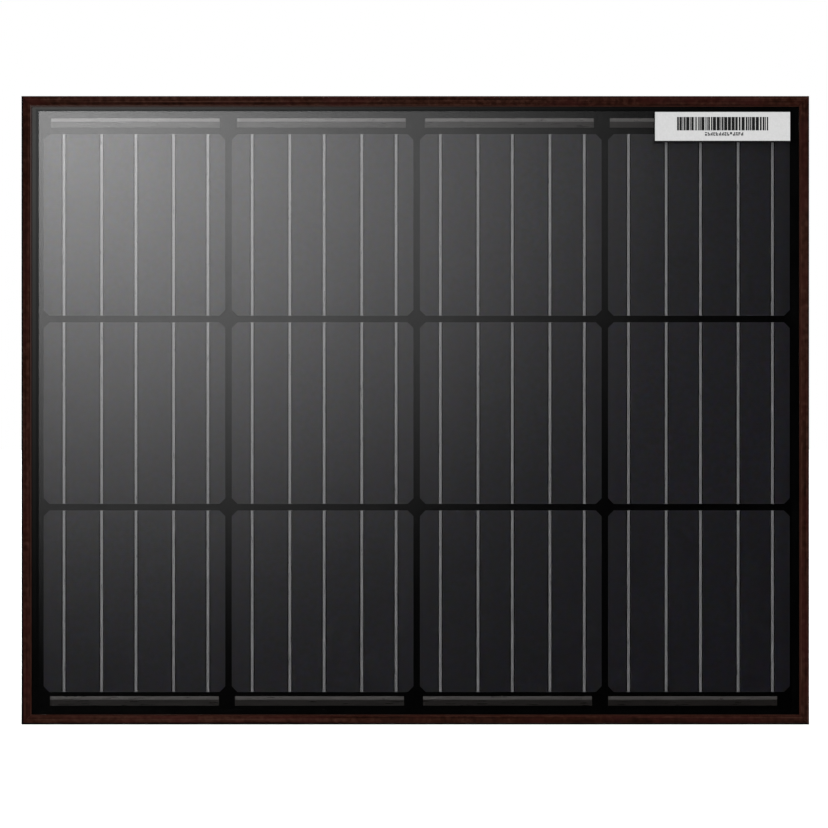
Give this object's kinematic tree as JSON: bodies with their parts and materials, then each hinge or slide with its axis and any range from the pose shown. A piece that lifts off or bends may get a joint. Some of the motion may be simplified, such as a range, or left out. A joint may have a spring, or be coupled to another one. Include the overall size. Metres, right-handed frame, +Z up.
{
  "type": "solar panel",
  "caption": "Framed black photovoltaic panel with square silicon cells under glass and a hinged-lid junction box on its back.",
  "frame": {"origin": "middle of the rear mounting plane, which the back faces of the four frame rails share", "axes": "+X to the right as seen from the front, along the long side; +Y from the glass towards the back; +Z up"},
  "size_m": [0.678, 0.03, 0.541],
  "materials": {
    "anodised_frame": "dark brown anodised, faint streaks along each rail",
    "corner_key_alloy": "as cast",
    "gasket_rubber": "matt dark grey",
    "solar_glass": "low-iron tempered glass, fine orange-peel front",
    "encapsulant": "clear film",
    "black_backsheet": "black laminate film",
    "silicon_cell": "blue-black textured silicon with fine grid lines",
    "tinned_copper": "tin-coated copper strip, dull",
    "label_paper": "matt sticker",
    "silicone_adhesive": "white silicone",
    "box_plastic": "black moulded plastic, fine grain",
    "gland_plastic": "black nylon",
    "seal_rubber": "black rubber",
    "terminal_brass": "plain",
    "screw_steel": "zinc plated",
    "diode_epoxy": "black epoxy"
  },
  "bodies": {
    "panel": {"frame_rail_bottom": "anodised_frame", "glass_gasket_bottom": "gasket_rubber", "frame_rail_left": "anodised_frame", "glass_gasket_left": "gasket_rubber", "frame_rail_top": "anodised_frame", "glass_gasket_top": "gasket_rubber", "frame_rail_right": "anodised_frame", "glass_gasket_right": "gasket_rubber", "corner_key_bottom_left": "corner_key_alloy", "corner_key_top_left": "corner_key_alloy", "corner_key_top_right": "corner_key_alloy", "corner_key_bottom_right": "corner_key_alloy", "front_glass": "solar_glass", "encapsulant_front": "encapsulant", "encapsulant_rear": "encapsulant", "backsheet": "black_backsheet", "cell_row1_col1": "silicon_cell", "cell_row1_col2": "silicon_cell", "cell_row1_col3": "silicon_cell", "cell_row1_col4": "silicon_cell", "cell_row2_col1": "silicon_cell", "cell_row2_col2": "silicon_cell", "cell_row2_col3": "silicon_cell", "cell_row2_col4": "silicon_cell", "cell_row3_col1": "silicon_cell", "cell_row3_col2": "silicon_cell", "cell_row3_col3": "silicon_cell", "cell_row3_col4": "silicon_cell", "bus_bar_top_1": "tinned_copper", "bus_bar_bottom_1": "tinned_copper", "bus_bar_top_2": "tinned_copper", "bus_bar_bottom_2": "tinned_copper", "bus_bar_top_3": "tinned_copper", "bus_bar_bottom_3": "tinned_copper", "bus_bar_top_4": "tinned_copper", "bus_bar_bottom_4": "tinned_copper", "label": "label_paper", "jbox_adhesive": "silicone_adhesive", "jbox_base": "box_plastic", "jbox_hinge_pin": "screw_steel", "jbox_lid_seal": "seal_rubber", "terminal_negative": "terminal_brass", "string_lead_negative": "tinned_copper", "terminal_positive": "terminal_brass", "string_lead_positive": "tinned_copper", "terminal_screw_negative_lower": "screw_steel", "terminal_screw_negative_upper": "screw_steel", "terminal_screw_positive_lower": "screw_steel", "terminal_screw_positive_upper": "screw_steel", "bypass_diode": "diode_epoxy", "gland_left_body": "gland_plastic", "gland_left_lock_nut": "gland_plastic", "gland_right_body": "gland_plastic", "gland_right_lock_nut": "gland_plastic"},
    "jbox_lid": {"jbox_lid": "box_plastic"},
    "gland_left_insert": {"gland_left_seal": "seal_rubber"},
    "gland_left_nut": {"gland_left_nut": "gland_plastic"},
    "gland_right_insert": {"gland_right_seal": "seal_rubber"},
    "gland_right_nut": {"gland_right_nut": "gland_plastic"}
  },
  "joints": [
    {"name": "lid_hinge", "type": "hinge", "parent": "panel", "child": "jbox_lid", "pos_m": [0, -0.0045, 0.2338], "axis": [1, 0, 0], "range_deg": [0, 105]},
    {"name": "gland_left_insert_slide", "type": "slide", "parent": "panel", "child": "gland_left_insert", "axis": [0, 0, -1], "range_m": [0, 0.003]},
    {"name": "gland_left_nut_turn", "type": "hinge", "parent": "gland_left_insert", "child": "gland_left_nut", "pos_m": [-0.022, -0.0124, 0.13], "axis": [0, 0, -1], "range_deg": [0, 720]},
    {"name": "gland_right_insert_slide", "type": "slide", "parent": "panel", "child": "gland_right_insert", "axis": [0, 0, -1], "range_m": [0, 0.003]},
    {"name": "gland_right_nut_turn", "type": "hinge", "parent": "gland_right_insert", "child": "gland_right_nut", "pos_m": [0.022, -0.0124, 0.13], "axis": [0, 0, -1], "range_deg": [0, 720]}
  ],
  "couplings": [
    {"joint": "gland_left_nut_turn", "follows": "gland_left_insert_slide", "rad_per_m": 4188},
    {"joint": "gland_right_nut_turn", "follows": "gland_right_insert_slide", "rad_per_m": 4188}
  ]
}
